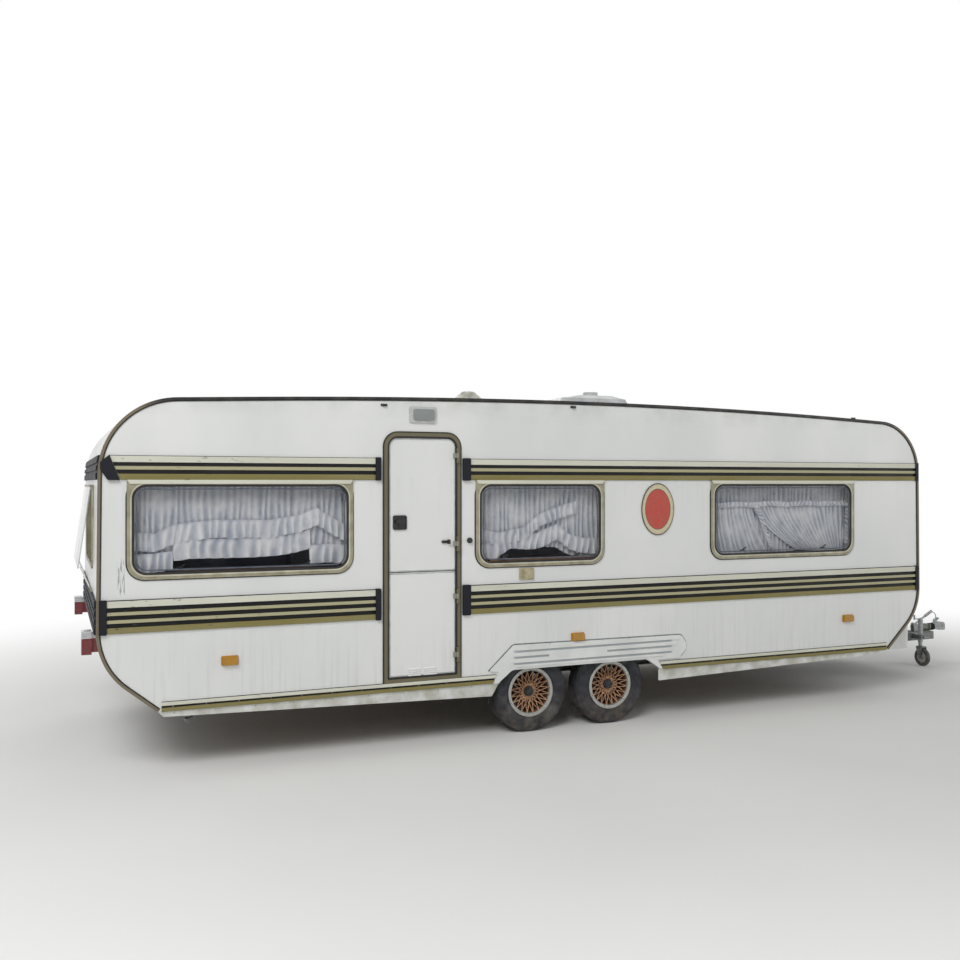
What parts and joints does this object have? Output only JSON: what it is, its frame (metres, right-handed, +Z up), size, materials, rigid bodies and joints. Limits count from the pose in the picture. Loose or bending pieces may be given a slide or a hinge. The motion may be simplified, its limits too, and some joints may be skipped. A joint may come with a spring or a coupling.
{
  "type": "travel caravan",
  "caption": "Long white travel caravan with rounded ends, striped side mouldings, split entrance door, lattice wheels, drawbar with ball coupling and jockey wheel.",
  "frame": {"origin": "on the ground under the middle of the overall box, on the centre line", "axes": "+X forward to the coupling, -Y to the door side, +Z up"},
  "size_m": [8.63, 2.459, 2.683],
  "materials": {
    "white_panel": "stove enamelled aluminium sheet, light gloss",
    "white_moulding": "glass-fibre moulding, gel coat",
    "cream_strip": "ribbed extrusion, cream and olive-gold",
    "dark_cap": "moulded navy-black",
    "rail": "extruded edge rail, weathered",
    "window_frame": "beige plastic frame",
    "window_pane": "tinted acrylic",
    "dome": "milky acrylic",
    "amber_lens": "amber lens",
    "red_lens": "red and clear lens",
    "grey_lens": "pale grey lens",
    "beige_plastic": "moulded beige",
    "red_enamel": "red enamel with gilt edge",
    "galvanised": "hot-dip galvanised steel",
    "black_steel": "black chassis paint",
    "housing_paint": "cast housing, weathered",
    "black_rubber": "moulded rubber",
    "tyre_rubber": "weathered tyre",
    "bronze_alloy": "bronze lattice with bright lip",
    "net_cloth": "white net",
    "seat_cloth": "brown woven cloth",
    "wood_panel": "brown wood-grain board",
    "floor_board": "plywood floor",
    "black_plastic": "moulded black"
  },
  "bodies": {
    "caravan": {"arch_mouldings": "white_moulding", "axle_front": "black_steel", "axle_rear": "black_steel", "band_caps": "dark_cap", "band_lower": "cream_strip", "band_upper": "cream_strip", "bed_boxes": "wood_panel", "bellows": "black_rubber", "cabinets": "wood_panel", "chassis_rails": "galvanised", "coupling_head": "galvanised", "cross_members": "galvanised", "curtains": "net_cloth", "cushions": "seat_cloth", "door_frame": "window_frame", "drawbar_arms": "galvanised", "drawbar_locker": "white_moulding", "edge_rails": "rail", "floor_panel": "floor_board", "front_wall": "white_panel", "handbrake_lever": "black_steel", "jockey_tube": "galvanised", "marker_lamps": "amber_lens", "overrun_housing": "housing_paint", "porch_lamp": "grey_lens", "rear_lamps": "red_lens", "rear_wall": "white_panel", "roof_light_dome": "dome", "roof_light_frame": "white_moulding", "roof_panel": "white_panel", "roof_vent": "white_moulding", "service_cover": "beige_plastic", "side_plaque": "red_enamel", "skirts": "white_moulding", "steady_brackets": "galvanised", "trim_sill": "cream_strip", "wall_left": "white_panel", "wall_right": "white_panel", "wheel_boxes": "black_steel", "window_frames": "window_frame", "window_panes": "window_pane"},
    "wheel_rear_right": {"tyre_rear_right": "tyre_rubber", "rim_rear_right": "bronze_alloy"},
    "wheel_rear_left": {"tyre_rear_left": "tyre_rubber", "rim_rear_left": "bronze_alloy"},
    "wheel_front_right": {"tyre_front_right": "tyre_rubber", "rim_front_right": "bronze_alloy"},
    "wheel_front_left": {"tyre_front_left": "tyre_rubber", "rim_front_left": "bronze_alloy"},
    "door_top_leaf": {"door_upper": "white_panel", "door_lock": "black_plastic"},
    "door_bottom_leaf": {"door_lower": "white_panel"},
    "lid": {"locker_lid": "white_moulding"},
    "leg_rear_right": {"steady_rear_right": "galvanised"},
    "leg_rear_left": {"steady_rear_left": "galvanised"},
    "leg_front_right": {"steady_front_right": "galvanised"},
    "leg_front_left": {"steady_front_left": "galvanised"},
    "jockey_stem": {"jockey_inner": "galvanised"},
    "jockey_caster": {"jockey_fork": "galvanised"},
    "jockey_roller": {"jockey_wheel": "black_rubber"}
  },
  "joints": [
    {"name": "wheel_rear_right_spin", "type": "hinge", "parent": "caravan", "child": "wheel_rear_right", "pos_m": [-1.164, -1.0755, 0.298], "axis": [0, 1, 0], "continuous": true},
    {"name": "wheel_rear_left_spin", "type": "hinge", "parent": "caravan", "child": "wheel_rear_left", "pos_m": [-1.164, 1.0755, 0.298], "axis": [0, 1, 0], "continuous": true},
    {"name": "wheel_front_right_spin", "type": "hinge", "parent": "caravan", "child": "wheel_front_right", "pos_m": [-0.478, -1.0755, 0.298], "axis": [0, 1, 0], "continuous": true},
    {"name": "wheel_front_left_spin", "type": "hinge", "parent": "caravan", "child": "wheel_front_left", "pos_m": [-0.478, 1.0755, 0.298], "axis": [0, 1, 0], "continuous": true},
    {"name": "door_upper_hinge", "type": "hinge", "parent": "caravan", "child": "door_top_leaf", "pos_m": [-1.784, -1.222, 1.75], "axis": [0, 0, 1], "range_deg": [0, 170]},
    {"name": "door_lower_hinge", "type": "hinge", "parent": "caravan", "child": "door_bottom_leaf", "pos_m": [-1.784, -1.222, 0.85], "axis": [0, 0, 1], "range_deg": [0, 170]},
    {"name": "locker_lid_hinge", "type": "hinge", "parent": "caravan", "child": "lid", "pos_m": [2.709, 0, 0.896], "axis": [0, -1, 0], "range_deg": [0, 75]},
    {"name": "steady_rear_right_hinge", "type": "hinge", "parent": "caravan", "child": "leg_rear_right", "pos_m": [-3.215, -0.79, 0.4], "axis": [0, -1, 0], "range_deg": [-16, 37]},
    {"name": "steady_rear_left_hinge", "type": "hinge", "parent": "caravan", "child": "leg_rear_left", "pos_m": [-3.215, 0.79, 0.4], "axis": [0, -1, 0], "range_deg": [0, 53]},
    {"name": "steady_front_right_hinge", "type": "hinge", "parent": "caravan", "child": "leg_front_right", "pos_m": [1.735, -0.79, 0.4], "axis": [0, 1, 0], "range_deg": [0, 53]},
    {"name": "steady_front_left_hinge", "type": "hinge", "parent": "caravan", "child": "leg_front_left", "pos_m": [1.735, 0.79, 0.4], "axis": [0, 1, 0], "range_deg": [0, 53]},
    {"name": "jockey_slide", "type": "slide", "parent": "caravan", "child": "jockey_stem", "axis": [0, 0, 1], "range_m": [0, 0.04]},
    {"name": "jockey_swivel", "type": "hinge", "parent": "jockey_stem", "child": "jockey_caster", "pos_m": [3.715, -0.25, 0.191], "axis": [0, 0, 1], "continuous": true},
    {"name": "jockey_spin", "type": "hinge", "parent": "jockey_caster", "child": "jockey_roller", "pos_m": [3.715, -0.275, 0.09], "axis": [1, 0, 0], "continuous": true}
  ]
}
